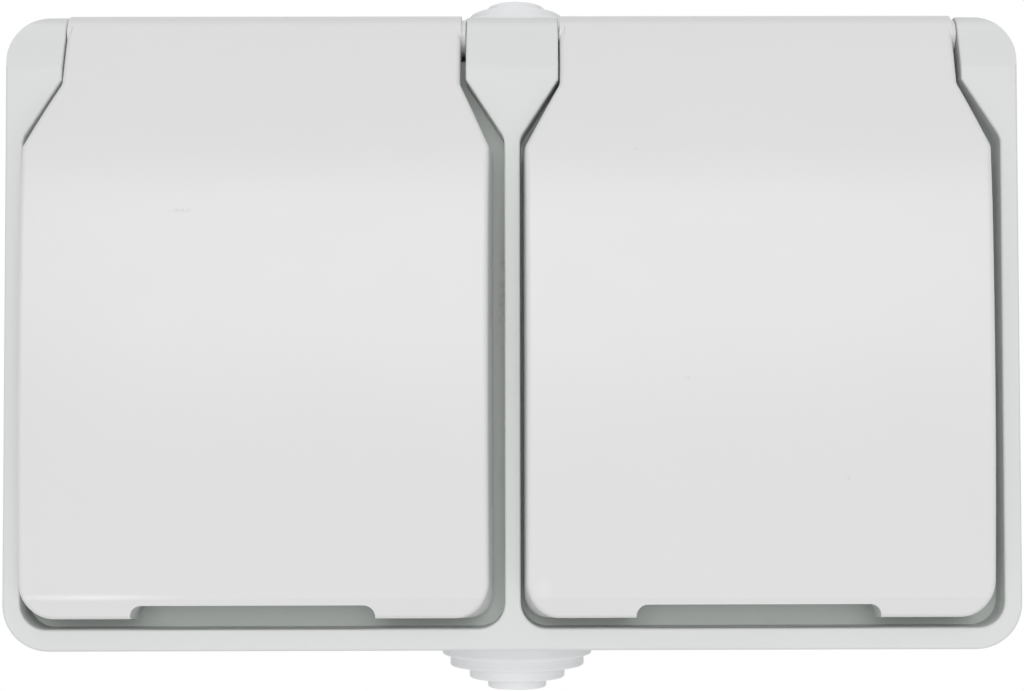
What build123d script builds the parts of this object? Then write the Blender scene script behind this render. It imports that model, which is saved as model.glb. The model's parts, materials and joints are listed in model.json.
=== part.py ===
from build123d import *
import math
import os

# Double weatherproof wall socket with two spring lids, in millimetres.
# The back of the box lies on the wall, in the plane y = 0, and the front faces -y. A depth is a distance
# out from the wall, x runs to the right and z up. The origin is the middle of the back face.

# Whole body
body_width = 132.0
body_height = 83.5
body_corner = 6.0
rim_depth = 54.0

# Front cover
side_rim = 2.325
bottom_rim = 2.85
divider = 2.05
top_wall = 2.4
recess_depth = 12.0
ledge_drop = 4.4
ledge_width = 4.0
pocket_corner = 2.0
floor_thickness = 2.2
recess_corner = 3.4
ear_step = 5.02
ear_height = 9.25
slant_height = 7.7
slant_round = 2.5
ear_setback = 0.2
rim_edge = 0.45
recess_edge = 0.3
shoulder_step = 1.0

# Rear box and the seal between box and cover
box_wall = 2.4
back_wall = 2.5
back_edge = 0.8
lip_height = 2.4
lip_thickness = 1.1
lip_clearance = 0.15
seam_gap = 0.4
seal_thickness = 1.0
island_clearance = 0.3

# Lids
lid_crown = 4.4
lid_face_radius = 350.0
lid_top_radius = 85.0
lid_apex_z = -6.0
lid_bend_z = 14.0
lid_play = 2.9
lid_lean = 0.34
lid_draft = 4.2
lid_bottom_gap = 1.24
chin_angle = 20.0
chin_height = 2.96
chin_round = 1.2
skirt_inset = 2.0
lid_shoulder_drop = 0.73
lid_shoulder_height = 8.6
lid_shoulder_round = 1.5
lid_corner_face = 5.3
lid_corner_rear = 3.1
lid_skin = 2.0
lid_wall = 1.8
lid_edge = 0.7
notch_width = 31.3
notch_height = 2.05
notch_corner = 1.5
notch_shift = 0.57

# Hinge
barrel_radius = 2.9
hinge_play = 0.9
hinge_side_gap = 0.18
hinge_boss_radius = 2.35
hinge_boss_clearance = 0.1
hinge_slot_clearance = 0.6
trough_clearance = 0.25
pin_radius = 1.0
pin_ear_clearance = 0.03
pin_lid_clearance = 0.08
pin_recess = 1.5
pin_web = 2.4

# Lid springs
wire_radius = 0.3
coil_turns = 8.75
coil_pitch = 0.66
coil_clearance = 0.15
window_clearance = 0.3
window_end_gap = 0.8
spring_leg_gap = 0.43
bend_bulge = 0.045
spring_lid_leg = 12.0
keeper_width = 3.0
keeper_height = 2.0
keeper_wall = 0.6
keeper_end_gap = 1.0
keeper_clearance = 0.2
peg_width = 4.0
peg_height = 3.0
peg_depth = 4.0
peg_clearance = 0.1

# Socket inserts
outlet_drop = 4.0
collar_radius = 23.0
collar_stand = 6.0
collar_edge = 0.6
collar_clearance = 0.3
well_radius = 19.8
well_depth = 17.5
face_thickness = 3.5
pin_spacing = 19.0
pin_hole_radius = 2.7
pin_hole_lead = 0.5
guide_width = 5.0
guide_height = 3.2
guide_length = 13.5
earth_slot_width = 7.2
earth_slot_inner = 15.5
earth_slot_outer = 22.0
earth_slot_length = 13.0

# Lid seals
lid_seal_gap = 0.15
lid_seal_width = 1.8
lid_seal_height = 1.85
stem_width = 1.0
stem_height = 1.1
stem_clearance = 0.1
seal_rib_width = 2.6

# Contact carriers
carrier_width = 47.0
carrier_height = 42.0
carrier_corner = 4.0
carrier_floor = 2.2
pillar_height = 5.5
pillar_radius = 3.6
carrier_screw_x = 19.0
carrier_screw_z = 17.0
carrier_seat_length = 5.0

# Bus bars, contacts and earth plate
metal_thickness = 0.8
metal_clearance = 0.1
bar_width = 6.0
bar_offset = 10.0
bar_end = 4.0
leaf_gap = 5.2
leaf_height = 7.0
leaf_inset = 2.5
chamber_clearance = 1.0
earth_width = 6.0
earth_link_width = 5.0
earth_link_offset = 16.0
earth_leg_radius = 20.8
earth_leg_straight = 6.0
earth_bump_radius = 17.4
earth_bump_out = 5.0
earth_tip_radius = 19.2
earth_tip_out = 9.5

# Terminals
clamp_size = 7.5
clamp_thickness = 1.2
pedestal_width = 14.0
pedestal_height = 34.0
pedestal_corner = 1.5

# Screws
screw_radius = 1.5
screw_head_radius = 3.0
screw_head_height = 2.0
screw_clearance = 0.25
thread_clearance = 0.05
head_clearance = 0.3
drive_width = 0.9
drive_length = 3.6
drive_depth = 0.9
cover_screw_side = 9.8
cover_screw_low = 10.75
cover_screw_high = 19.5
cover_screw_length = 14.0
cover_post_radius = 4.0
cover_post_gap = 0.1
insert_screw_length = 12.0
insert_screw_sink = 2.2
terminal_screw_length = 6.0
carrier_screw_length = 10.0
screw_end_gap = 0.6

# Cable glands
gland_seam_gap = 2.5
gland_neck_radius = 10.0
gland_clearance = 0.1
gland_lip_radius = 11.4
gland_lip_height = 1.4
gland_flange_radius = 12.0
gland_flange_height = 1.6
gland_ring_radii = (11.0, 9.84, 7.0, 4.3)
gland_ring_tops = (3.76, 5.44, 7.23, 8.69)
gland_wall = 1.2
gland_round = 0.35

# Wall fixing holes
mount_spacing_x = 64.0
mount_spacing_z = 66.0
mount_hole_radius = 2.25
mount_boss_radius = 5.0
mount_boss_height = 1.5

# Places that follow from the sizes above
body_top = body_height / 2
recess_width = (body_width - 2 * side_rim - divider) / 2
recess_half = recess_width / 2
recess_low = bottom_rim - body_top
recess_top = body_top - top_wall
outlet_x = (recess_width + divider) / 2
outlet_z = -outlet_drop
ear_gap_half = recess_half - ear_step
ear_kink_z = body_top - ear_height
ledge_depth = rim_depth - ledge_drop
floor_depth = rim_depth - recess_depth
floor_back = floor_depth - floor_thickness
cover_shoulder = floor_depth - shoulder_step
box_depth = cover_shoulder - seal_thickness
rebate_depth = box_depth - lip_height
gland_depth = rebate_depth - gland_flange_radius - gland_seam_gap
lid_apex_depth = rim_depth + lid_crown
lid_rear = rim_depth - skirt_inset
lid_low = recess_low + lid_bottom_gap
lid_half = (recess_width - lid_play) / 2
chin_top = lid_low + chin_height
lid_neck_half = ear_gap_half - hinge_play / 2
lid_shift = hinge_play / 2 - hinge_side_gap
lid_shoulder_z = ear_kink_z - lid_shoulder_drop
collar_front = floor_depth + collar_stand
well_floor = collar_front - well_depth
insert_back = well_floor - face_thickness
carrier_back = back_wall + pillar_height
bar_depth = carrier_back + carrier_floor
leaf_front = insert_back - leaf_inset
earth_depth = insert_back - metal_clearance - metal_thickness
seal_middle_radius = (collar_radius + well_radius) / 2
seal_back = collar_front + lid_seal_gap
seal_seat = seal_back + lid_seal_height
coil_radius = pin_radius + coil_clearance + wire_radius
coil_length = coil_turns * coil_pitch
far = 2 * rim_depth

# The lid's front is two tangent arcs, drawn as (depth, height), and the hinge barrel touches the upper one.
face_centre = (lid_apex_depth - lid_face_radius, lid_apex_z)
bend_sine = (lid_bend_z - lid_apex_z) / lid_face_radius
bend_cosine = math.sqrt(1 - bend_sine**2)
top_centre = (
    face_centre[0] + (lid_face_radius - lid_top_radius) * bend_cosine,
    face_centre[1] + (lid_face_radius - lid_top_radius) * bend_sine,
)
hinge_z = body_top + ear_setback - barrel_radius
hinge_reach = lid_top_radius - barrel_radius
hinge_sine = (hinge_z - top_centre[1]) / hinge_reach
hinge_cosine = math.sqrt(1 - hinge_sine**2)
hinge_depth = top_centre[0] + hinge_reach * hinge_cosine
hinge_slot_depth = hinge_depth - barrel_radius - hinge_slot_clearance
spring_leg = hinge_depth - floor_depth - spring_leg_gap
trough_low = hinge_z - barrel_radius - trough_clearance

outlets = {"left": -1, "right": 1}


def slab(sketch, start, stop):
    """Sketch drawn as (x, z), run from one depth to another."""
    return extrude(Plane.XZ.offset(start) * sketch, stop - start)


def across(sketch, low, high):
    """Side section drawn as (depth, height), run along x."""
    side = Plane(origin=(high, 0, 0), x_dir=(0, -1, 0), z_dir=(-1, 0, 0))
    return extrude(side * sketch, high - low)


def upright(sketch, low, high):
    """Sketch drawn as (x, depth), run upwards along z."""
    ground = Plane(origin=(0, 0, high), x_dir=(1, 0, 0), z_dir=(0, 0, -1))
    return extrude(ground * sketch, high - low)


def disc(radius, start, stop, x, z):
    return slab(Pos(x, z) * Circle(radius), start, stop)


def rod(radius, low, high, depth, z):
    return across(Pos(depth, z) * Circle(radius), low, high)


def block(x_low, x_high, start, stop, z_low, z_high):
    middle = Pos((x_low + x_high) / 2, (z_low + z_high) / 2)
    return slab(middle * Rectangle(x_high - x_low, z_high - z_low), start, stop)


def plate(width, height, corner, start, stop, x, z):
    return slab(Pos(x, z) * RectangleRounded(width, height, corner), start, stop)


def body_outline(inset):
    """Outline of the whole body, shrunk by an inset."""
    return RectangleRounded(body_width - 2 * inset, body_height - 2 * inset, body_corner - inset)


def recess_outline(x, inset, corner):
    """Recess around one lid, shrunk by an inset: narrow between the ears, then slanted, round below."""
    ear_low = ear_kink_z - slant_height
    right = [
        (ear_gap_half - inset, recess_top),
        (ear_gap_half - inset, ear_kink_z),
        (recess_half - inset, ear_low),
        (recess_half - inset, recess_low + inset),
    ]
    left = [(-across_x, z) for across_x, z in reversed(right)]
    rounds = [0, 0, slant_round, corner, corner, slant_round, 0, 0]
    return Pos(x, 0) * make_face(FilletPolyline(*right, *left, radius=rounds, close=True))


def front_section(setback, rear):
    """Side section behind the lid's front arcs and its sloping chin, all drawn back by a setback."""
    face_radius = lid_face_radius - setback
    top_radius = lid_top_radius - setback
    low = -body_top
    crease = (face_centre[0] + math.sqrt(face_radius**2 - (chin_top - face_centre[1]) ** 2), chin_top)
    start = (crease[0] - (chin_top - low) * math.tan(math.radians(chin_angle)), low)
    bend = (face_centre[0] + face_radius * bend_cosine, face_centre[1] + face_radius * bend_sine)
    touch = (top_centre[0] + top_radius * hinge_cosine, top_centre[1] + top_radius * hinge_sine)
    edges = [
        Line(start, crease),
        RadiusArc(crease, bend, -face_radius),
        RadiusArc(bend, touch, -top_radius),
        Polyline(touch, (hinge_depth, hinge_z), (rear, hinge_z), (rear, low), start),
    ]
    section = make_face(Curve() + edges)
    corner = section.vertices().sort_by_distance((*crease, 0))[0]
    return fillet(corner, chin_round)


def lid_outline(depth, inset):
    """Lid outline at a depth: it grows towards the back by the draft of its sides."""
    slope = math.tan(math.radians(lid_draft))
    half = lid_half + (lid_apex_depth - depth) * slope - inset
    low = lid_low + (depth - lid_rear) * slope + inset
    neck = lid_neck_half - inset
    top = body_top + barrel_radius
    grown = (depth - lid_rear) / (lid_apex_depth - lid_rear)
    corner = lid_corner_rear + (lid_corner_face - lid_corner_rear) * grown - inset
    shoulder_low = lid_shoulder_z - lid_shoulder_height
    points = [
        (neck, top),
        (neck, lid_shoulder_z),
        (half - lid_lean, shoulder_low),
        (half - lid_lean, low),
        (-half - lid_lean, low),
        (-half - lid_lean, shoulder_low),
        (-neck, lid_shoulder_z),
        (-neck, top),
    ]
    rounds = [0, lid_shoulder_round, lid_shoulder_round, corner]
    outline = make_face(FilletPolyline(*points, radius=rounds + rounds[::-1], close=True))
    return Plane.XZ.offset(depth) * outline


def lid_body(inset, setback, rear):
    """Solid lid shape, the sides shrunk by an inset and the front drawn back by a setback."""
    skirt = loft([lid_outline(rear, inset), lid_outline(lid_apex_depth, inset)], ruled=True)
    return skirt & across(front_section(setback, 0), -recess_width, recess_width)


def is_face_edge(edge):
    """True for an edge that goes round the lid's front face."""
    middle = edge @ 0.5
    depth, z = -middle.Y, middle.Z
    runs_across = abs((edge @ 1).X - (edge @ 0).X) > lid_half
    if runs_across:
        return z < (lid_low + chin_top) / 2 and depth > rim_depth
    centre, radius = (top_centre, lid_top_radius) if z > lid_bend_z else (face_centre, lid_face_radius)
    front = centre[0] + math.sqrt(radius**2 - (max(z, chin_top) - centre[1]) ** 2)
    front -= max(chin_top - z, 0) * math.tan(math.radians(chin_angle))
    return abs(depth - front) < rim_edge / 10


def make_lid(side):
    """Lid with its hinge barrel, finger notch, seal rib and spring keeper."""
    solid = lid_body(0, 0, lid_rear)
    solid = fillet([edge for edge in solid.edges() if is_face_edge(edge)], lid_edge)
    barrel = rod(barrel_radius, -lid_neck_half, lid_neck_half, hinge_depth, hinge_z)
    web = block(-lid_neck_half, lid_neck_half, hinge_depth, far, hinge_z - barrel_radius, hinge_z)
    web &= across(front_section(2 * lid_edge, 0), -recess_width, recess_width)
    hollow = lid_body(lid_wall, lid_skin, lid_rear)
    hollow -= block(-recess_half, recess_half, 0, far, hinge_z - barrel_radius, body_height)
    lid = solid + barrel + web - hollow

    seal_x = lid_shift
    rib = disc(seal_middle_radius + seal_rib_width / 2, seal_seat, far, seal_x, outlet_z)
    rib -= disc(seal_middle_radius - seal_rib_width / 2, seal_seat, far, seal_x, outlet_z)
    keeper_x = coil_length / 2
    keeper_rear = hinge_depth - coil_radius - wire_radius - keeper_clearance - keeper_wall
    keeper_top = hinge_z - spring_lid_leg + keeper_end_gap + keeper_height
    keeper = block(
        keeper_x - keeper_width / 2,
        keeper_x + keeper_width / 2,
        keeper_rear,
        far,
        keeper_top - keeper_height,
        keeper_top,
    )
    lid += (rib + keeper) & across(front_section(0, 0), -recess_half, recess_half)
    groove = stem_width / 2 + stem_clearance
    groove_floor = seal_seat + stem_height + stem_clearance
    lid -= disc(seal_middle_radius + groove, seal_seat, groove_floor, seal_x, outlet_z) - disc(
        seal_middle_radius - groove, seal_seat, groove_floor, seal_x, outlet_z
    )
    leg_hole = Pos(keeper_x, hinge_depth - coil_radius) * Circle(wire_radius + keeper_clearance)
    lid -= upright(leg_hole, keeper_top - keeper_height, keeper_top)

    notch = Pos(-notch_shift, lid_low) * RectangleRounded(notch_width, 2 * notch_height, notch_corner)
    lid -= slab(notch, 0, far)

    boss_end = lid_neck_half + hinge_play - hinge_side_gap - hinge_boss_clearance
    lid += rod(hinge_boss_radius, lid_neck_half, boss_end, hinge_depth, hinge_z)
    lid -= rod(pin_radius + pin_lid_clearance, -recess_width, recess_width, hinge_depth, hinge_z)
    window = coil_radius + wire_radius + window_clearance
    window_half = coil_length / 2 + wire_radius + window_end_gap
    lid -= rod(window, -window_half, window_half, hinge_depth, hinge_z)
    lid -= block(-window_half, window_half, 0, hinge_depth, hinge_z - 2 * window, hinge_z)
    return Pos(side * outlet_x - lid_shift, 0, 0) * lid


def make_lid_seal(side):
    """Rubber ring: a stem in the lid's groove and a wider lip in front of the socket collar."""
    x = side * outlet_x
    lip = disc(seal_middle_radius + lid_seal_width / 2, seal_back, seal_seat, x, outlet_z)
    lip -= disc(seal_middle_radius - lid_seal_width / 2, seal_back, seal_seat, x, outlet_z)
    stem_end = seal_seat + stem_height
    stem = disc(seal_middle_radius + stem_width / 2, seal_seat, stem_end, x, outlet_z)
    stem -= disc(seal_middle_radius - stem_width / 2, seal_seat, stem_end, x, outlet_z)
    return lip + stem


def make_hinge_pin(side):
    """Steel pin from just inside the outer ear to the middle web of the centre ear."""
    ends = sorted([side * pin_web / 2, side * (body_width / 2 - pin_recess)])
    return rod(pin_radius, *ends, hinge_depth, hinge_z)


def make_lid_spring(side):
    """Torsion coil on the pin: one leg back to the cover's peg, one leg down to the lid's keeper."""
    axle = Plane(origin=(-coil_length / 2, 0, 0), x_dir=(0, 0, -1), z_dir=(1, 0, 0))
    path = axle * Helix(coil_pitch, coil_length, coil_radius, lefthand=True)
    section = Plane(origin=path @ 0, z_dir=path % 0) * Circle(wire_radius)
    coil = sweep(section, path=path, is_frenet=True)
    spring = coil
    for end, run, length in ((path @ 0, (0, 1, 0), spring_leg), (path @ 1, (0, 0, -1), spring_lid_leg)):
        spring += Pos(*end) * Sphere(wire_radius + bend_bulge)
        spring += extrude(Plane(origin=end, z_dir=run) * Circle(wire_radius), length)
    return Pos(side * outlet_x - lid_shift, -hinge_depth, hinge_z) * spring


def make_front_cover():
    """Cover with two stepped recesses, ears that hold the hinge pins, a divider and the recess floor."""
    top_radius = barrel_radius - ear_setback
    section = front_section(ear_setback, cover_shoulder)
    section += Pos(hinge_depth, hinge_z) * Circle(top_radius)
    top_run = hinge_depth - cover_shoulder
    section += Pos(cover_shoulder + top_run / 2, hinge_z + top_radius / 2) * Rectangle(top_run, top_radius)
    cover = slab(body_outline(0), cover_shoulder, rim_depth)
    cover = fillet(cover.faces().sort_by(Axis.Y)[0].edges(), rim_edge)
    cover &= across(section, -body_width, body_width)
    lip_start = rebate_depth + seam_gap
    cover += slab(body_outline(0) - body_outline(lip_thickness), lip_start, cover_shoulder)
    cover += slab(body_outline(box_wall + island_clearance), floor_back, cover_shoulder)

    for side in outlets.values():
        x = side * outlet_x
        cover -= slab(recess_outline(x, 0, recess_corner), ledge_depth, far)
        cover -= slab(recess_outline(x, ledge_width, pocket_corner), floor_depth, far)
        gap_edges = (x - ear_gap_half, x + ear_gap_half)
        cover -= block(*gap_edges, floor_depth, far, trough_low, recess_top)
        cover -= block(*gap_edges, hinge_slot_depth, far, recess_top - top_wall, far)
        cover -= disc(collar_radius + collar_clearance, 0, far, x, outlet_z)
        ends = sorted([side * pin_web / 2, side * body_width])
        cover -= rod(pin_radius + pin_ear_clearance, *ends, hinge_depth, hinge_z)
    cover = fillet([edge for edge in cover.edges() if is_recess_edge(edge)], recess_edge)
    for side in outlets.values():
        peg_x = side * outlet_x - lid_shift - coil_length / 2
        peg_top = hinge_z - coil_radius - wire_radius - peg_clearance
        cover += block(
            peg_x - peg_width / 2,
            peg_x + peg_width / 2,
            floor_depth - floor_thickness / 2,
            floor_depth + peg_depth,
            peg_top - peg_height,
            peg_top,
        )
    for x, z in cover_screw_places():
        cover -= disc(screw_radius + screw_clearance, 0, floor_depth, x, z)
    return cover


def is_recess_edge(edge):
    """True for an edge where a recess wall meets the rim's flat front or an ear's rounded front."""
    middle = edge @ 0.5
    depth, x, z = -middle.Y, middle.X, middle.Z
    from_arc = math.hypot(depth - top_centre[0], z - top_centre[1]) - lid_top_radius + ear_setback
    from_barrel = math.hypot(depth - hinge_depth, z - hinge_z) - barrel_radius + ear_setback
    near = recess_edge / 10
    on_rim = abs(depth - rim_depth) < near
    on_ear = depth > hinge_depth and min(abs(from_arc), abs(from_barrel)) < near
    half = ear_gap_half if z > ear_kink_z else recess_half
    inside = abs(abs(x) - outlet_x) < half + near and z > recess_low - near
    ear_line = z > 0 and abs((edge @ 1).Z - (edge @ 0).Z) < near
    return (on_rim or on_ear) and inside and not ear_line


def cover_screw_places():
    xs = (cover_screw_side - body_width / 2, body_width / 2 - cover_screw_side)
    zs = (cover_screw_low - body_top, body_top - cover_screw_high)
    return [(x, z) for x in xs for z in zs]


def carrier_screw_places(side):
    x = side * outlet_x
    return [
        (x + side * carrier_screw_x, outlet_z + carrier_screw_z),
        (x - side * carrier_screw_x, outlet_z - carrier_screw_z),
    ]


def mount_places():
    xs = (-mount_spacing_x / 2, mount_spacing_x / 2)
    zs = (-mount_spacing_z / 2, mount_spacing_z / 2)
    return [(x, z) for x in xs for z in zs]


def make_rear_box():
    """Box on the wall, with a rebated front edge, posts, pillars, a terminal pedestal and gland holes."""
    shell = slab(body_outline(0), 0, rebate_depth)
    shell = chamfer(shell.faces().sort_by(Axis.Y)[-1].edges(), back_edge)
    shell += slab(body_outline(lip_thickness + lip_clearance), rebate_depth, box_depth)
    shell -= slab(body_outline(box_wall), back_wall, far)
    for x, z in cover_screw_places():
        post_top = floor_back - cover_post_gap
        shell += disc(cover_post_radius, back_wall, post_top, x, z)
        bore_floor = floor_depth - cover_screw_length - screw_end_gap
        shell -= disc(screw_radius + thread_clearance, bore_floor, far, x, z)
    for side in outlets.values():
        for x, z in carrier_screw_places(side):
            shell += disc(pillar_radius, back_wall, carrier_back, x, z)
            bore_floor = carrier_back + carrier_seat_length - carrier_screw_length - screw_end_gap
            shell -= disc(screw_radius + thread_clearance, bore_floor, carrier_back, x, z)
    pedestal_top = bar_depth - metal_clearance
    shell += plate(
        pedestal_width, pedestal_height, pedestal_corner, back_wall, pedestal_top, 0, outlet_z
    )
    for offset in (bar_offset, -bar_offset):
        bore_floor = bar_depth + metal_thickness + clamp_thickness - terminal_screw_length - screw_end_gap
        shell -= disc(screw_radius + screw_clearance, bore_floor, far, 0, outlet_z + offset)
    for x, z in mount_places():
        shell += disc(mount_boss_radius, 0, back_wall + mount_boss_height, x, z)
        shell -= disc(mount_hole_radius, 0, far, x, z)
    gland_bore = Pos(0, gland_depth) * Circle(gland_neck_radius)
    shell -= upright(gland_bore, recess_top - box_wall, far)
    shell -= upright(gland_bore, -far, box_wall - recess_top)
    return shell


def make_box_seal():
    """Flat rubber frame between the box's front edge and the cover's shoulder."""
    ring = body_outline(lip_thickness + lip_clearance) - body_outline(box_wall)
    return slab(ring, box_depth, cover_shoulder)


def make_gland(side):
    """Stepped rubber membrane: inner lip, neck, flange and four rings that end in a closed tip."""
    neck = gland_neck_radius - gland_clearance
    outside = [(neck, -box_wall), (neck, 0), (gland_flange_radius, 0)]
    inner_end = -box_wall - gland_lip_height
    outline = [(gland_lip_radius, inner_end), (gland_lip_radius, -box_wall), *outside]
    outline.append((gland_flange_radius, gland_flange_height))
    base = gland_flange_height
    for radius, top in zip(gland_ring_radii, gland_ring_tops):
        outline += [(radius, base), (radius, top)]
        base = top
    outline += [(0, gland_ring_tops[-1]), (0, gland_ring_tops[-1] - gland_wall)]
    inner = []
    for radius, top in zip(gland_ring_radii[1:], gland_ring_tops[1:]):
        inner.append((radius - gland_wall, top - gland_wall))
    for (radius, top), wider in zip(inner[::-1], (*inner[:-1][::-1], None)):
        outline.append((radius, top))
        if wider:
            outline.append((radius, wider[1]))
    outline.append((inner[0][0], inner_end))
    rounds = [0] * len(outline)
    for index in range(4, 4 + 2 * len(gland_ring_radii) + 2):
        rounds[index] = gland_round
    profile = make_face(FilletPolyline(*outline, radius=rounds, close=True))
    gland = Pos(0, -gland_depth, body_top) * revolve(Plane.XZ * profile, Axis.Z)
    return gland if side > 0 else mirror(gland, Plane.XY)


def make_socket_insert(side):
    """Round well with two pin holes, guide ribs, earth slots and a screw seat in its floor."""
    x = side * outlet_x
    insert = disc(collar_radius, insert_back, collar_front, x, outlet_z)
    insert -= disc(well_radius, well_floor, collar_front, x, outlet_z)
    insert = chamfer(insert.faces().sort_by(Axis.Y)[0].edges(), collar_edge)
    for end in (-1, 1):
        guide_root = (well_radius + collar_radius) / 2
        guide_x = sorted([x + end * (well_radius - guide_height), x + end * guide_root])
        insert += block(
            *guide_x,
            well_floor,
            well_floor + guide_length,
            outlet_z - guide_width / 2,
            outlet_z + guide_width / 2,
        )
        hole_x = x + end * pin_spacing / 2
        insert -= disc(pin_hole_radius, 0, far, hole_x, outlet_z)
        lead = Pos(hole_x, -well_floor, outlet_z) * Rot(90, 0, 0)
        insert -= lead * Cone(pin_hole_radius, pin_hole_radius + 2 * pin_hole_lead, 2 * pin_hole_lead)
        slot_z = sorted([outlet_z + end * earth_slot_inner, outlet_z + end * earth_slot_outer])
        slot_half = earth_slot_width / 2
        insert -= block(x - slot_half, x + slot_half, 0, well_floor + earth_slot_length, *slot_z)
    insert -= disc(screw_radius + screw_clearance, 0, far, x, outlet_z)
    seat = well_floor - insert_screw_sink
    insert -= disc(screw_head_radius + head_clearance, seat, far, x, outlet_z)
    return insert


def make_contact_carrier(side):
    """Insulating block with a chamber for each pin contact and slots for the bars and the earth plate."""
    x = side * outlet_x
    carrier = plate(
        carrier_width, carrier_height, carrier_corner, carrier_back, insert_back, x, outlet_z
    )
    slot_half = bar_width / 2 + metal_clearance
    slot_floor = bar_depth - metal_clearance
    chamber_half = leaf_gap / 2 + metal_thickness + chamber_clearance
    chamber_reach = leaf_height / 2 + chamber_clearance
    for end in (-1, 1):
        bar_z = outlet_z - end * bar_offset
        chamber_x = x + end * pin_spacing / 2
        slot_z = (bar_z - slot_half, bar_z + slot_half)
        carrier -= block(x - carrier_width, x + carrier_width, slot_floor, far, *slot_z)
        chamber_z = sorted([bar_z, outlet_z + end * chamber_reach])
        carrier -= block(chamber_x - chamber_half, chamber_x + chamber_half, slot_floor, far, *chamber_z)
    groove = earth_width / 2 + metal_clearance
    groove_floor = earth_depth - metal_clearance
    carrier -= block(x - groove, x + groove, groove_floor, far, -body_height, body_height)
    link_half = earth_link_width / 2 + metal_clearance
    link_z = outlet_z + earth_link_offset
    link_x = sorted([x, x - side * carrier_width])
    carrier -= block(*link_x, groove_floor, far, link_z - link_half, link_z + link_half)
    bore_floor = well_floor - insert_screw_sink - insert_screw_length - screw_end_gap
    carrier -= disc(screw_radius + thread_clearance, bore_floor, far, x, outlet_z)
    for screw_x, screw_z in carrier_screw_places(side):
        carrier -= disc(screw_radius + screw_clearance, 0, far, screw_x, screw_z)
        seat = carrier_back + carrier_seat_length
        carrier -= disc(screw_head_radius + head_clearance, seat, far, screw_x, screw_z)
    return carrier


def make_bus_bar(end):
    """Brass bar that links the same pin of both outlets, with a web and two spring leaves at each pin."""
    bar_z = outlet_z - end * bar_offset
    pin_x = [side * outlet_x + end * pin_spacing / 2 for side in outlets.values()]
    front = bar_depth + metal_thickness
    bar_edges = (bar_z - bar_width / 2, bar_z + bar_width / 2)
    bar = block(pin_x[0] - bar_end, pin_x[1] + bar_end, bar_depth, front, *bar_edges)
    web_half = leaf_gap / 2 + metal_thickness
    web_z = sorted([bar_z, outlet_z + end * leaf_height / 2])
    leaf_z = (outlet_z - leaf_height / 2, outlet_z + leaf_height / 2)
    for x in pin_x:
        bar += block(x - web_half, x + web_half, bar_depth, front, *web_z)
        for leaf in (-1, 1):
            leaf_x = sorted([x + leaf * leaf_gap / 2, x + leaf * web_half])
            bar += block(*leaf_x, bar_depth, leaf_front, *leaf_z)
    bar -= disc(screw_radius + thread_clearance, 0, far, 0, bar_z)
    return bar


def make_earth_plate():
    """Stamped plate: a link between the outlets and, at each, a strap with two bent side contacts."""
    link_z = outlet_z + earth_link_offset
    link_half = earth_link_width / 2
    front = earth_depth + metal_thickness
    plate_body = block(-outlet_x, outlet_x, earth_depth, front, link_z - link_half, link_z + link_half)
    plate_body -= disc(screw_radius + thread_clearance, 0, far, 0, link_z)
    corner = earth_leg_radius - metal_thickness / 2
    centre_depth = earth_depth + metal_thickness / 2
    leg = [
        (centre_depth, 0),
        (centre_depth, corner),
        (earth_depth + earth_leg_straight, corner),
        (earth_depth + earth_leg_straight + earth_bump_out, earth_bump_radius),
        (earth_depth + earth_leg_straight + earth_tip_out, earth_tip_radius),
    ]
    strip = thick_line(leg, metal_thickness)
    for side in outlets.values():
        x = side * outlet_x
        half = across(strip, x - earth_width / 2, x + earth_width / 2)
        plate_body += Pos(0, 0, outlet_z) * (half + mirror(half, Plane.XY))
        plate_body -= disc(screw_radius + screw_clearance, 0, far, x, outlet_z)
    return plate_body


def thick_line(points, thickness):
    """Flat strip of even thickness along a bent line, with mitred corners."""
    line = [Vector(*point) for point in points]
    runs = [(after - before).normalized() for before, after in zip(line, line[1:])]
    sides = [Vector(-run.Y, run.X) for run in runs]
    offsets = [sides[0]]
    for before, after in zip(sides, sides[1:]):
        corner = (before + after).normalized()
        offsets.append(corner / corner.dot(before))
    offsets.append(sides[-1])
    upper = [point + offset * (thickness / 2) for point, offset in zip(line, offsets)]
    lower = [point - offset * (thickness / 2) for point, offset in zip(line, offsets)]
    return make_face(Polyline(*upper, *lower[::-1], close=True))


def make_screw(seat, length, x, z):
    """Pan-head screw with a cross recess, its head standing on a seat at the given depth."""
    head_front = seat + screw_head_height
    screw = disc(screw_head_radius, seat, head_front, x, z)
    screw = fillet(screw.faces().sort_by(Axis.Y)[0].edges(), screw_head_height / 2)
    screw += disc(screw_radius, seat - length, seat, x, z)
    for width, height in ((drive_length, drive_width), (drive_width, drive_length)):
        cross = Pos(x, z) * Rectangle(width, height)
        screw -= slab(cross, head_front - drive_depth, head_front)
    return screw


def terminal_places():
    """Height and metal front of the line, neutral and earth terminals."""
    bar_front = bar_depth + metal_thickness
    return [
        (outlet_z + bar_offset, bar_front),
        (outlet_z - bar_offset, bar_front),
        (outlet_z + earth_link_offset, earth_depth + metal_thickness),
    ]


def make_terminal_clamps():
    half = clamp_size / 2
    clamps = []
    for z, front in terminal_places():
        clamp = block(-half, half, front, front + clamp_thickness, z - half, z + half)
        clamps.append(clamp - disc(screw_radius + screw_clearance, 0, far, 0, z))
    return Compound(clamps)


def make_terminal_screws():
    screws = []
    for z, front in terminal_places():
        screws.append(make_screw(front + clamp_thickness, terminal_screw_length, 0, z))
    return Compound(screws)


def make_cover_screws():
    return Compound([make_screw(floor_depth, cover_screw_length, x, z) for x, z in cover_screw_places()])


def make_insert_screws():
    seat = well_floor - insert_screw_sink
    places = [side * outlet_x for side in outlets.values()]
    return Compound([make_screw(seat, insert_screw_length, x, outlet_z) for x in places])


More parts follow.
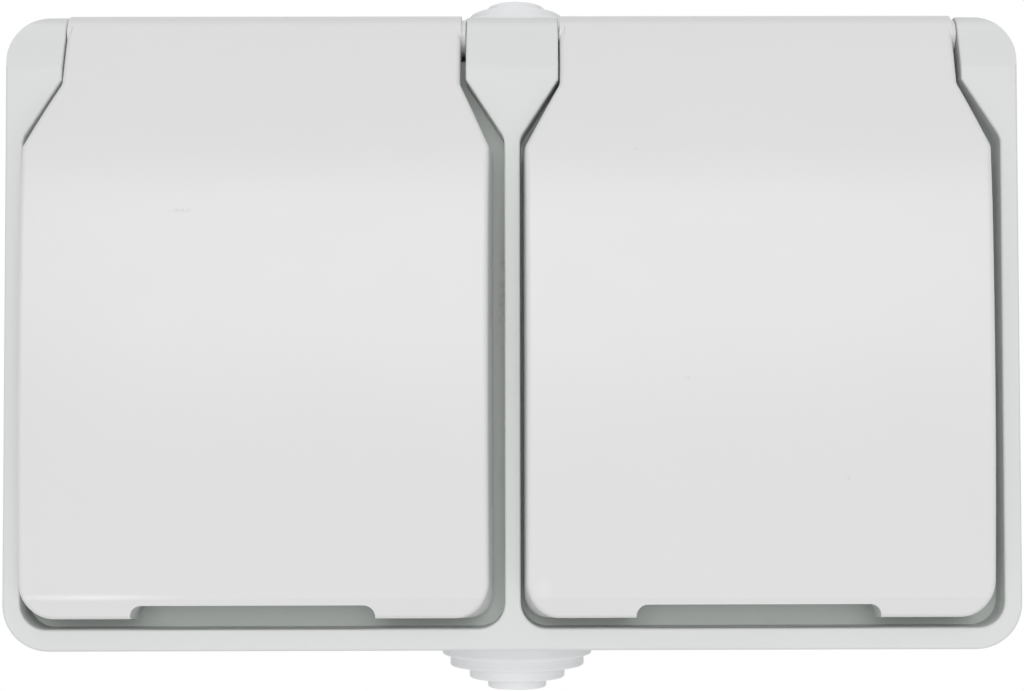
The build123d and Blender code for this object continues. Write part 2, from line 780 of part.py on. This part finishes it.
def make_carrier_screws():
    seat = carrier_back + carrier_seat_length
    places = [place for side in outlets.values() for place in carrier_screw_places(side)]
    return Compound([make_screw(seat, carrier_screw_length, x, z) for x, z in places])


pieces = {
    "rear_box": make_rear_box(),
    "box_seal": make_box_seal(),
    "front_cover": make_front_cover(),
    "cover_screws": make_cover_screws(),
    "gland_top": make_gland(1),
    "gland_bottom": make_gland(-1),
    "insert_screws": make_insert_screws(),
    "carrier_screws": make_carrier_screws(),
    "line_bus_bar": make_bus_bar(-1),
    "neutral_bus_bar": make_bus_bar(1),
    "earth_plate": make_earth_plate(),
    "terminal_clamps": make_terminal_clamps(),
    "terminal_screws": make_terminal_screws(),
}
for name, side in outlets.items():
    pieces[f"lid_{name}"] = make_lid(side)
    pieces[f"lid_seal_{name}"] = make_lid_seal(side)
    pieces[f"hinge_pin_{name}"] = make_hinge_pin(side)
    pieces[f"lid_spring_{name}"] = make_lid_spring(side)
    pieces[f"socket_insert_{name}"] = make_socket_insert(side)
    pieces[f"contact_carrier_{name}"] = make_contact_carrier(side)

os.makedirs("parts", exist_ok=True)
for name, piece in pieces.items():
    export_step(piece, f"parts/{name}.step")
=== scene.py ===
import json
import math

import bpy
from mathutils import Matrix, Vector


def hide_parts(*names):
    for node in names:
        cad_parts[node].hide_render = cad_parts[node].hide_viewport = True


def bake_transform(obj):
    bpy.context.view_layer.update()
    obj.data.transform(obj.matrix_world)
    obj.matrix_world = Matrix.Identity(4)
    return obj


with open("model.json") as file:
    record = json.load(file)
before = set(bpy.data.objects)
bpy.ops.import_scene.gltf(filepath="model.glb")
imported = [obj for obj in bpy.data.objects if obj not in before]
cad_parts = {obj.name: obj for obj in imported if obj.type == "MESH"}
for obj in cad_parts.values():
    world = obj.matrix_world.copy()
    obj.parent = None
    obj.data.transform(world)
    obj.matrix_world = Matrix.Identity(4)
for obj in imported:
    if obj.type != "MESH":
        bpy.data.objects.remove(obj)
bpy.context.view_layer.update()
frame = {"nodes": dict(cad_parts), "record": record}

# Camera
CAMERA_PLACE = (0.004214, -0.264985, -0.01808)
CAMERA_TURN = (91.628, 0.137, -0.232)
CAMERA_LENS = 57.24
CAMERA_SHIFT = (-0.03884, 0.07374)

# Light and floor, with the shares of the way in from its edge where its white ends and its plain tone starts
WORLD_FILL = 0.56
FLOOR_HEIGHT = -0.6
FLOOR_RADIUS = 1.6
FLOOR_TONE = 0.85
FLOOR_WHITE_TO = 0.35
FLOOR_PLAIN_FROM = 0.85

# Lid springs, the same as the frame's coils, in metres and turns
WIRE_RADIUS = 0.0003
COIL_RADIUS = 0.00145
COIL_PITCH = 0.00066
COIL_TURNS = 8.75
BACK_LEG = 0.006996
LID_LEG = 0.012
STEPS_PER_TURN = 20
WIRE_SIDES = 10

# Range that a pattern mostly keeps to, and the scales of the finishes' patterns, in waves to the metre
PATTERN_RANGE = (0.3, 0.7)
CLOUD_SCALE = 45.0
GLOSS_SCALE = 120.0
GLOSS_SWING = 0.02
WAVE_SCALE = 55.0
PLASTIC_GRAIN_SCALE = 2600.0
RUBBER_CLOUD_SCALE = 140.0
RUBBER_GRAIN_SCALE = 3200.0
METAL_FILM_SCALE = 380.0
METAL_LINE_SCALE = 900.0
SCUFF_SCALE = 2200.0
DUST_SCALE = 1300.0

# Wall and ledge of the cover's recesses, where the cover's colour is painted lighter and greener as bounce
# light in the gaps: reach to either side, low and high end, and start and stop along Y
LEDGE_SIDE = 0.0645
LEDGE_LOW = -0.0405
LEDGE_HIGH = 0.0405
LEDGE_START = (-0.0525, -0.0505)
LEDGE_STOP = (-0.0494, -0.0484)

# Dust in the cover's gap, scuffs on the lids and painted highlights along the lids' lower edges: middle and
# reach of each, in metres
GAP_DUST = ((-0.0013, -0.0515, 0.004), (0.0009, 0.004, 0.012))
LID_SCUFFS = (
    ((-0.0422, -0.0576, 0.0148), (0.0022, 0.002, 0.0004)),
    ((0.0224, -0.0583, -0.0067), (0.0008, 0.002, 0.0003)),
    ((0.0427, -0.0580, -0.0195), (0.0005, 0.002, 0.0005)),
    ((0.0158, -0.0572, 0.0228), (0.0005, 0.002, 0.0003)),
)
# Painted highlights: a lighter line along the left lid's bottom crease and a soft glint at the right lid's
# lower corner
LID_PAINTED_HIGHLIGHTS = (
    ((-0.0535, -0.0572, -0.0345), (0.0125, 0.004, 0.0005)),
    ((0.0040, -0.0543, -0.0335), (0.0020, 0.004, 0.0022)),
)


def clear_selection():
    """Leaves nothing selected, so that the next operator acts on its own piece alone."""
    if bpy.context.object and bpy.context.object.mode != "OBJECT":
        bpy.ops.object.mode_set(mode="OBJECT")
    bpy.ops.object.select_all(action="DESELECT")


# Materials


def new_material(name, roughness, metallic=0.0):
    """Empty finish with its shader and the coordinates that its patterns read."""
    material = bpy.data.materials.new(name)
    material.use_nodes = True
    tree = material.node_tree
    shader = tree.nodes["Principled BSDF"]
    shader.inputs["Roughness"].default_value = roughness
    shader.inputs["Metallic"].default_value = metallic
    place = tree.nodes.new("ShaderNodeTexCoord").outputs["Object"]
    return material, tree, shader, place


def noise(tree, place, scale, detail=3.0, roughness=0.5, stretch=None):
    """Cloudy pattern on the piece, stretched where the finish runs in one direction."""
    if stretch:
        mapping = tree.nodes.new("ShaderNodeMapping")
        mapping.inputs["Scale"].default_value = stretch
        tree.links.new(place, mapping.inputs["Vector"])
        place = mapping.outputs["Vector"]
    node = tree.nodes.new("ShaderNodeTexNoise")
    node.inputs["Scale"].default_value = scale
    node.inputs["Detail"].default_value = detail
    node.inputs["Roughness"].default_value = roughness
    tree.links.new(place, node.inputs["Vector"])
    return node.outputs["Fac"]


def spread(tree, value, low, high, out_low, out_high):
    """Maps a pattern's range onto another one."""
    node = tree.nodes.new("ShaderNodeMapRange")
    node.inputs["From Min"].default_value = low
    node.inputs["From Max"].default_value = high
    node.inputs["To Min"].default_value = out_low
    node.inputs["To Max"].default_value = out_high
    tree.links.new(value, node.inputs["Value"])
    return node.outputs["Result"]


def mix_colours(tree, share, first, second):
    """Two colours, or the colour so far and another one, shared out by a pattern."""
    node = tree.nodes.new("ShaderNodeMix")
    node.data_type = "RGBA"
    tree.links.new(share, node.inputs["Factor"])
    for socket, colour in ((node.inputs[6], first), (node.inputs[7], second)):
        if isinstance(colour, tuple):
            socket.default_value = (*colour, 1.0)
        else:
            tree.links.new(colour, socket)
    return node.outputs[2]


def combine(tree, kind, first, second):
    """Two patterns made one by arithmetic, such as their product or the larger of the two."""
    node = tree.nodes.new("ShaderNodeMath")
    node.operation = kind
    for socket, value in ((node.inputs[0], first), (node.inputs[1], second)):
        if isinstance(value, float):
            socket.default_value = value
        else:
            tree.links.new(value, socket)
    return node.outputs["Value"]


def add_bump(tree, shader, height, depth, under=None):
    """Raises the finish by a pattern, on top of another one where there is one."""
    node = tree.nodes.new("ShaderNodeBump")
    node.inputs["Strength"].default_value = 1.0
    node.inputs["Distance"].default_value = depth
    tree.links.new(height, node.inputs["Height"])
    if under:
        tree.links.new(under, node.inputs["Normal"])
    tree.links.new(node.outputs["Normal"], shader.inputs["Normal"])
    return node.outputs["Normal"]


def moulded_plastic(name, pale, dark, roughness, grain, sink):
    """Moulded plastic: faint clouding of its colour, uneven gloss, shallow waves and a fine grain."""
    material, tree, shader, place = new_material(name, roughness)
    cloud = noise(tree, place, CLOUD_SCALE, 4.0, 0.55)
    colour = mix_colours(tree, spread(tree, cloud, *PATTERN_RANGE, 0.0, 1.0), pale, dark)
    tree.links.new(colour, shader.inputs["Base Color"])
    gloss = noise(tree, place, GLOSS_SCALE, 3.0)
    uneven = spread(tree, gloss, *PATTERN_RANGE, roughness - GLOSS_SWING, roughness + GLOSS_SWING)
    tree.links.new(uneven, shader.inputs["Roughness"])
    waves = add_bump(tree, shader, noise(tree, place, WAVE_SCALE, 1.0), sink)
    add_bump(tree, shader, noise(tree, place, PLASTIC_GRAIN_SCALE, 2.0), grain, waves)
    return material, tree, shader, place, colour


def soft_rubber(name, pale, dark, roughness, grain):
    """Moulded rubber: a dull skin with a fine even tooth."""
    material, tree, shader, place = new_material(name, roughness)
    cloud = noise(tree, place, RUBBER_CLOUD_SCALE, 4.0, 0.6)
    colour = mix_colours(tree, spread(tree, cloud, *PATTERN_RANGE, 0.0, 1.0), pale, dark)
    tree.links.new(colour, shader.inputs["Base Color"])
    shader.inputs["Specular IOR Level"].default_value = 0.35
    add_bump(tree, shader, noise(tree, place, RUBBER_GRAIN_SCALE, 2.0, 0.7), grain)
    return material


def worked_metal(name, pale, dark, low_gloss, high_gloss, stretch, grain):
    """Bare or plated metal with fine lines from drawing or stamping and a patchy film."""
    material, tree, shader, place = new_material(name, high_gloss, 1.0)
    film = noise(tree, place, METAL_FILM_SCALE, 4.0, 0.6)
    colour = mix_colours(tree, spread(tree, film, *PATTERN_RANGE, 0.0, 1.0), pale, dark)
    tree.links.new(colour, shader.inputs["Base Color"])
    lines = noise(tree, place, METAL_LINE_SCALE, 3.0, 0.6, stretch)
    tree.links.new(spread(tree, lines, 0.25, 0.75, low_gloss, high_gloss), shader.inputs["Roughness"])
    add_bump(tree, shader, lines, grain)
    return material


def patch(tree, place, middle, reach):
    """One soft oval spot: full in its middle and gone at its reach, in metres along each axis."""
    mapping = tree.nodes.new("ShaderNodeMapping")
    mapping.vector_type = "TEXTURE"
    mapping.inputs["Location"].default_value = middle
    mapping.inputs["Scale"].default_value = reach
    tree.links.new(place, mapping.inputs["Vector"])
    ball = tree.nodes.new("ShaderNodeTexGradient")
    ball.gradient_type = "SPHERICAL"
    tree.links.new(mapping.outputs["Vector"], ball.inputs["Vector"])
    return ball.outputs["Fac"]


def patches(tree, place, spots):
    """Several soft spots in one pattern."""
    pattern = None
    for middle, reach in spots:
        spot = patch(tree, place, middle, reach)
        pattern = combine(tree, "MAXIMUM", pattern, spot) if pattern else spot
    return pattern


def lid_plastic():
    """Satin white of the lids, with a few faint scuffs and specks from handling and two painted highlights:
    a lighter line along the left lid's bottom crease and a glint at the right lid's lower corner.
    """
    material, tree, shader, place, colour = moulded_plastic(
        "satin_lid_plastic",
        pale=(0.647, 0.647, 0.647),
        dark=(0.641, 0.641, 0.641),
        roughness=0.3,
        grain=0.0000015,
        sink=0.000002,
    )
    # Painted highlights: lighter colour on the lids' lower edges, where a lamp glints on the crease and the
    # corner
    with_painted_highlights = mix_colours(tree, patches(tree, place, LID_PAINTED_HIGHLIGHTS), colour, (0.76, 0.76, 0.76))
    grime = spread(tree, noise(tree, place, SCUFF_SCALE, 4.0, 0.7), 0.42, 0.62, 0.0, 0.7)
    scuffed = combine(tree, "MULTIPLY", patches(tree, place, LID_SCUFFS), grime)
    tree.links.new(mix_colours(tree, scuffed, with_painted_highlights, (0.46, 0.45, 0.43)), shader.inputs["Base Color"])
    return material


def recess_ledge(tree, place):
    """Full on the wall and ledge that show round a closed lid, where bounce light is painted, and gone on
    the rest of the cover.
    """
    split = tree.nodes.new("ShaderNodeSeparateXYZ")
    tree.links.new(place, split.inputs["Vector"])
    ledge = spread(tree, split.outputs["Y"], *LEDGE_START, 0.0, 1.0)
    limits = (
        spread(tree, split.outputs["Y"], *LEDGE_STOP, 1.0, 0.0),
        combine(tree, "LESS_THAN", combine(tree, "ABSOLUTE", split.outputs["X"], 0.0), LEDGE_SIDE),
        combine(tree, "GREATER_THAN", split.outputs["Z"], LEDGE_LOW),
        combine(tree, "LESS_THAN", split.outputs["Z"], LEDGE_HIGH),
    )
    for limit in limits:
        ledge = combine(tree, "MULTIPLY", ledge, limit)
    return ledge


def cover_plastic():
    """Satin pale grey of the cover, painted lighter and greener on the recess wall and ledge as bounce light
    in the gaps, with a little dust beside the divider.
    """
    material, tree, shader, place, colour = moulded_plastic(
        "satin_cover_plastic",
        pale=(0.638, 0.653, 0.645),
        dark=(0.628, 0.643, 0.635),
        roughness=0.58,
        grain=0.000003,
        sink=0.000003,
    )
    dust = spread(tree, noise(tree, place, DUST_SCALE, 4.0, 0.65), 0.4, 0.65, 0.0, 0.9)
    spot = combine(tree, "MULTIPLY", patch(tree, place, *GAP_DUST), dust)
    # Painted bounce light: the recess wall and ledge lighter and greener, as light bounced within the gaps
    painted_bounce_tint = mix_colours(tree, recess_ledge(tree, place), colour, (0.665, 0.705, 0.674))
    dusty = mix_colours(tree, spot, painted_bounce_tint, (0.42, 0.37, 0.27))
    tree.links.new(dusty, shader.inputs["Base Color"])
    return material


finishes = {
    "lid_plastic": lid_plastic(),
    "cover_plastic": cover_plastic(),
    "box_plastic": moulded_plastic(
        "spark_box_plastic",
        pale=(0.636, 0.651, 0.643),
        dark=(0.612, 0.626, 0.618),
        roughness=0.58,
        grain=0.00002,
        sink=0.000006,
    )[0],
    "insert_plastic": moulded_plastic(
        "satin_insert_plastic",
        pale=(0.646, 0.661, 0.653),
        dark=(0.628, 0.642, 0.634),
        roughness=0.42,
        grain=0.000003,
        sink=0.000005,
    )[0],
    "carrier_plastic": moulded_plastic(
        "matte_carrier_plastic",
        pale=(0.52, 0.52, 0.47),
        dark=(0.47, 0.47, 0.42),
        roughness=0.6,
        grain=0.00001,
        sink=0.00001,
    )[0],
    "gland_rubber": soft_rubber(
        "gland_rubber_skin",
        pale=(0.815, 0.827, 0.836),
        dark=(0.795, 0.807, 0.817),
        roughness=0.62,
        grain=0.000008,
    ),
    "seal_rubber": soft_rubber(
        "seal_rubber_skin",
        pale=(0.018, 0.018, 0.018),
        dark=(0.011, 0.011, 0.011),
        roughness=0.7,
        grain=0.00001,
    ),
    "zinc_steel": worked_metal(
        "zinc_plate",
        pale=(0.62, 0.63, 0.64),
        dark=(0.5, 0.51, 0.53),
        low_gloss=0.25,
        high_gloss=0.42,
        stretch=(1.0, 1.0, 1.0),
        grain=0.000004,
    ),
    "spring_steel": worked_metal(
        "drawn_spring_wire",
        pale=(0.46, 0.46, 0.46),
        dark=(0.36, 0.36, 0.37),
        low_gloss=0.22,
        high_gloss=0.36,
        stretch=(0.2, 1.0, 1.0),
        grain=0.000002,
    ),
    "contact_brass": worked_metal(
        "stamped_brass",
        pale=(0.72, 0.50, 0.20),
        dark=(0.58, 0.38, 0.15),
        low_gloss=0.22,
        high_gloss=0.4,
        stretch=(0.15, 1.0, 1.0),
        grain=0.000002,
    ),
}


def wear(piece, slot_name):
    """Gives a piece its finish, in place of any that it came with."""
    piece.data.materials.clear()
    piece.data.materials.append(finishes[slot_name])


for subpart in frame["record"]["subparts"]:
    wear(frame["nodes"][subpart["node"]], subpart["material_slot"])


# Lid springs


def wind_spring():
    """Torsion spring round the X axis, from its back leg at low X to its lid leg at high X."""
    clear_selection()
    length = COIL_PITCH * COIL_TURNS
    bpy.ops.mesh.primitive_circle_add(
        vertices=WIRE_SIDES,
        radius=WIRE_RADIUS,
        location=(-length / 2, 0, -COIL_RADIUS),
        rotation=(math.radians(90), 0, 0),
    )
    spring = bpy.context.object
    bpy.ops.object.transform_apply(location=True, rotation=True, scale=True)
    screw = spring.modifiers.new("coil", "SCREW")
    screw.axis = "X"
    screw.angle = -2 * math.pi * COIL_TURNS
    screw.screw_offset = length
    screw.steps = round(STEPS_PER_TURN * COIL_TURNS)
    screw.render_steps = screw.steps
    screw.use_smooth_shade = True
    bpy.ops.object.modifier_apply(modifier=screw.name)
    return spring


def draw_leg(spring, end_x, run, reach):
    """Draws the wire's open end out into a straight leg and closes it."""
    mesh = spring.data
    bpy.ops.object.mode_set(mode="EDIT")
    bpy.ops.mesh.select_mode(type="EDGE")
    bpy.ops.mesh.select_all(action="DESELECT")
    bpy.ops.mesh.select_non_manifold(extend=False, use_wire=False, use_multi_face=False, use_verts=False)
    bpy.ops.object.mode_set(mode="OBJECT")
    for vertex in mesh.vertices:
        vertex.select = vertex.select and abs(vertex.co.x - end_x) < 2 * WIRE_RADIUS
    for edge in mesh.edges:
        edge.select = all(mesh.vertices[corner].select for corner in edge.vertices)
    bpy.ops.object.mode_set(mode="EDIT")
    step = Vector(run) * reach
    bpy.ops.mesh.extrude_region_move(TRANSFORM_OT_translate={"value": step})
    bpy.ops.mesh.edge_face_add()
    bpy.ops.object.mode_set(mode="OBJECT")


def lid_spring(joint):
    """The spring on one lid's pin, in place of the frame's coil: its back leg reaches back toward the cover
    and its lid leg runs down along the lid.
    """
    spring = wind_spring()
    half = COIL_PITCH * COIL_TURNS / 2
    draw_leg(spring, -half, (0, 1, 0), BACK_LEG)
    draw_leg(spring, half, (0, 0, -1), LID_LEG)
    bpy.ops.object.mode_set(mode="EDIT")
    bpy.ops.mesh.select_all(action="SELECT")
    bpy.ops.mesh.normals_make_consistent(inside=False)
    bpy.ops.object.mode_set(mode="OBJECT")
    axis = Vector(joint["pos_m"])
    spring.location = axis
    bpy.ops.object.transform_apply(location=True, rotation=True, scale=True)
    node = joint["deforming_nodes"][0]["node"]
    spring.name = f"wound_{node}"
    wear(spring, "spring_steel")
    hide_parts(node)
    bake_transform(spring)


for hinge in frame["record"]["behaviour"]["joints"]:
    lid_spring(hinge)


# Floor, world, lights and camera


def seen_share(tree):
    """Full for what the camera sees straight, in a reflection or through a clear piece."""
    path = tree.nodes.new("ShaderNodeLightPath")
    seen = combine(tree, "MAXIMUM", path.outputs["Is Camera Ray"], path.outputs["Is Glossy Ray"])
    return combine(tree, "MAXIMUM", seen, path.outputs["Is Transmission Ray"])


clear_selection()
bpy.ops.mesh.primitive_circle_add(
    vertices=96, radius=FLOOR_RADIUS, fill_type="NGON", location=(0, 0, FLOOR_HEIGHT)
)
floor = bpy.context.object
floor.name = "studio_floor"
floor_material, floor_tree, floor_shader, floor_place = new_material("pale_floor", 0.9)
floor_shader.inputs["Base Color"].default_value = (FLOOR_TONE, FLOOR_TONE, FLOOR_TONE, 1.0)
glow = floor_tree.nodes.new("ShaderNodeEmission")
middle_share = patch(floor_tree, floor_place, (0, 0, 0), (FLOOR_RADIUS, FLOOR_RADIUS, 1.0))
faded = spread(floor_tree, middle_share, FLOOR_WHITE_TO, FLOOR_PLAIN_FROM, 1.0, 0.0)
seen_fade = combine(floor_tree, "MULTIPLY", faded, seen_share(floor_tree))
floor_blend = floor_tree.nodes.new("ShaderNodeMixShader")
floor_tree.links.new(seen_fade, floor_blend.inputs["Fac"])
floor_tree.links.new(floor_shader.outputs["BSDF"], floor_blend.inputs[1])
floor_tree.links.new(glow.outputs["Emission"], floor_blend.inputs[2])
floor_tree.links.new(floor_blend.outputs["Shader"], floor_tree.nodes["Material Output"].inputs["Surface"])
floor.data.materials.append(floor_material)

world = bpy.data.worlds.new("studio")
bpy.context.scene.world = world
world.use_nodes = True
sky = world.node_tree
backdrop = sky.nodes["Background"]
backdrop.inputs["Color"].default_value = (1, 1, 1, 1)
backdrop.inputs["Strength"].default_value = 1.0
fill = sky.nodes.new("ShaderNodeBackground")
fill.inputs["Color"].default_value = (1, 1, 1, 1)
fill.inputs["Strength"].default_value = WORLD_FILL
blend_sky = sky.nodes.new("ShaderNodeMixShader")
sky.links.new(seen_share(sky), blend_sky.inputs["Fac"])
sky.links.new(fill.outputs["Background"], blend_sky.inputs[1])
sky.links.new(backdrop.outputs["Background"], blend_sky.inputs[2])
sky.links.new(blend_sky.outputs["Shader"], sky.nodes["World Output"].inputs["Surface"])


def add_softbox(name, place, aim, size, power):
    """Soft rectangular studio lamp aimed at a point, of a width and height in metres."""
    clear_selection()
    turn = (Vector(aim) - Vector(place)).to_track_quat("-Z", "Y").to_euler()
    bpy.ops.object.light_add(type="AREA", location=place, rotation=turn)
    lamp = bpy.context.object
    lamp.name = name
    lamp.data.shape = "RECTANGLE"
    lamp.data.size, lamp.data.size_y = size
    lamp.data.energy = power
    lamp.visible_camera = False


add_softbox("front_softbox", place=(0, -1.05, 0.255), aim=(0, -0.05, 0), size=(0.9, 0.42), power=3.25)
add_softbox("low_softbox", place=(0, -0.43, -0.28), aim=(0, -0.05, -0.03), size=(0.9, 0.5), power=0.9)
add_softbox("top_softbox", place=(0, -0.55, 0.8), aim=(0, -0.05, 0), size=(1.0, 0.6), power=1.35)
add_softbox("back_softbox", place=(0, 1.0, 0.12), aim=(0, 0, 0), size=(0.9, 0.5), power=2.2)

clear_selection()
bpy.ops.object.camera_add(location=CAMERA_PLACE, rotation=[math.radians(angle) for angle in CAMERA_TURN])
camera = bpy.context.object
camera.data.sensor_width = 36.0
camera.data.lens = CAMERA_LENS
camera.data.shift_x, camera.data.shift_y = CAMERA_SHIFT
camera.data.clip_start = 0.01
bpy.context.scene.camera = camera
bpy.context.scene.view_settings.view_transform = "Standard"
